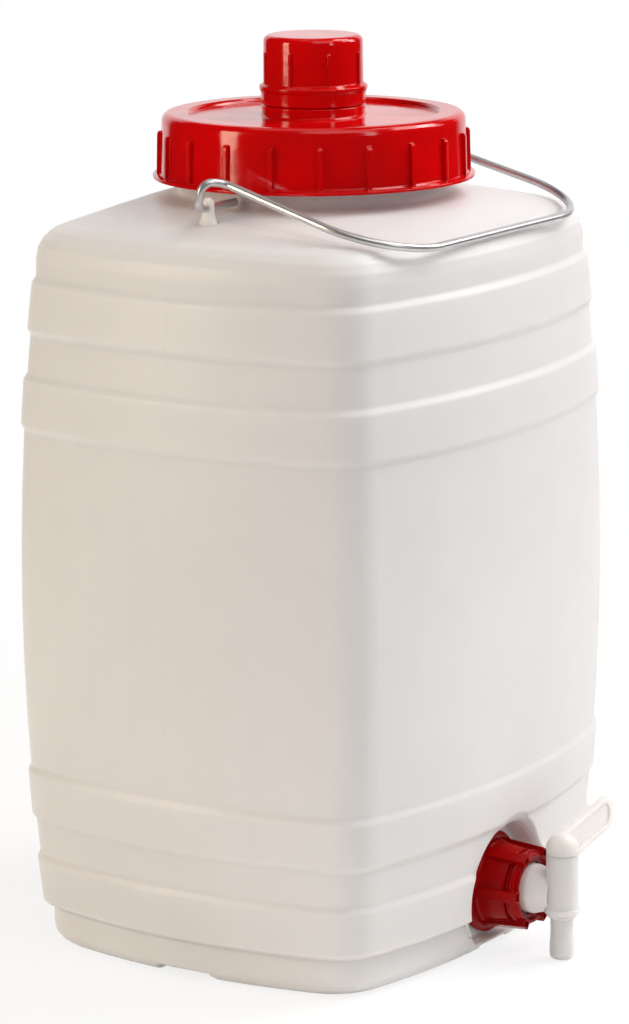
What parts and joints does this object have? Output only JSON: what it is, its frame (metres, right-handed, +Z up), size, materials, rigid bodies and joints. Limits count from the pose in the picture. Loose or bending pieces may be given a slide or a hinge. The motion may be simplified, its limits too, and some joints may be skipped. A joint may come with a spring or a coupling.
{
  "type": "water canister with tap",
  "caption": "Square-shouldered plastic water canister with hooped walls, wide screw lid, pour cap, wire bail and a plug tap.",
  "frame": {"origin": "middle of the tank's base, on the plane that its four pads stand on", "axes": "+Z up along the neck's axis; the tap is on the -Y face; +X is the side that the closed tap lever points to"},
  "size_m": [0.271, 0.2673, 0.4449],
  "materials": {
    "natural_tank": "milky natural polyethylene, satin",
    "natural_tap": "milky natural polyethylene, smooth",
    "red_cap": "glossy red moulding",
    "seal": "soft seal",
    "zinc_wire": "bright zinc-coated wire"
  },
  "bodies": {
    "tank": {"container": "natural_tank", "tap_gasket": "seal", "tap_body": "natural_tap", "tap_nut": "red_cap"},
    "lid_seal": {"lid_gasket": "seal"},
    "lid": {"screw_lid": "red_cap"},
    "cap_seal": {"pour_cap_gasket": "seal"},
    "cap": {"pour_cap": "red_cap"},
    "bail": {"bail_handle": "zinc_wire"},
    "tap_plug": {"tap_core": "natural_tap"}
  },
  "joints": [
    {"name": "lid_lift", "type": "slide", "parent": "tank", "child": "lid_seal", "axis": [0, 0, 1], "range_m": [0, 0.0102]},
    {"name": "lid_turn", "type": "hinge", "parent": "lid_seal", "child": "lid", "pos_m": [0, 0, 0.39], "axis": [0, 0, 1], "range_deg": [0, 450]},
    {"name": "cap_lift", "type": "slide", "parent": "lid", "child": "cap_seal", "axis": [0, 0, 1], "range_m": [0, 0.0064]},
    {"name": "cap_turn", "type": "hinge", "parent": "cap_seal", "child": "cap", "pos_m": [0, 0, 0.43], "axis": [0, 0, 1], "range_deg": [0, 450]},
    {"name": "bail_swing", "type": "hinge", "parent": "tank", "child": "bail", "pos_m": [0, 0, 0.3713], "axis": [-1, 0, 0], "range_deg": [0, 140]},
    {"name": "tap_turn", "type": "hinge", "parent": "tank", "child": "tap_plug", "pos_m": [0, -0.141, 0.0332], "axis": [0, 0, -1], "range_deg": [0, 90]}
  ],
  "couplings": [
    {"joint": "lid_lift", "follows": "lid_turn", "m_per_rad": 0.0012732},
    {"joint": "cap_lift", "follows": "cap_turn", "m_per_rad": 0.00079577}
  ]
}
